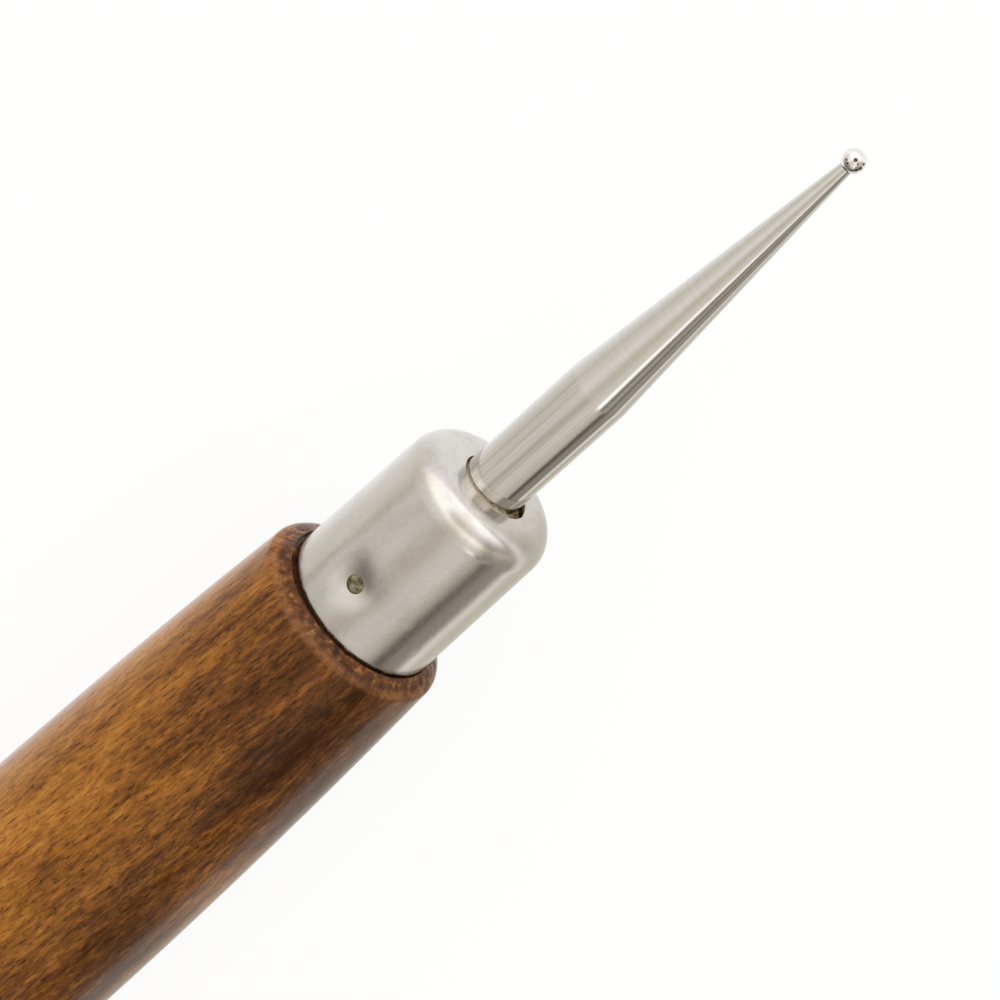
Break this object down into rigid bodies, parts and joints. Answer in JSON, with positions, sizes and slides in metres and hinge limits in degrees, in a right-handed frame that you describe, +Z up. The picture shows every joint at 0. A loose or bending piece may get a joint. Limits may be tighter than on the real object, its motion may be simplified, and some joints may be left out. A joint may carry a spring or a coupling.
{
  "type": "embossing stylus",
  "caption": "Ball-tipped embossing stylus: a polished ball on a tapered steel shank, held by cement and a pinned nickel ferrule in a swelling, stained hardwood handle.",
  "frame": {"origin": "on the handle's axis, at the middle of its belly, where the tool is held", "axes": "+X along the stylus towards its working ball, +Z up, +Y to the left when looking from butt to ball"},
  "size_m": [0.1416, 0.0162, 0.0162],
  "materials": {
    "polished_steel": "mirror polished",
    "turned_steel": "fine turned and brushed",
    "satin_nickel": "satin nickel plate",
    "pin_brass": "tarnished",
    "stained_wood": "gloss lacquer over walnut stain",
    "amber_cement": "set adhesive"
  },
  "bodies": {
    "root": {"ball_tip": "polished_steel", "shank": "turned_steel", "ferrule": "satin_nickel", "ferrule_pin": "pin_brass", "handle": "stained_wood", "tang_cement": "amber_cement"}
  },
  "joints": []
}
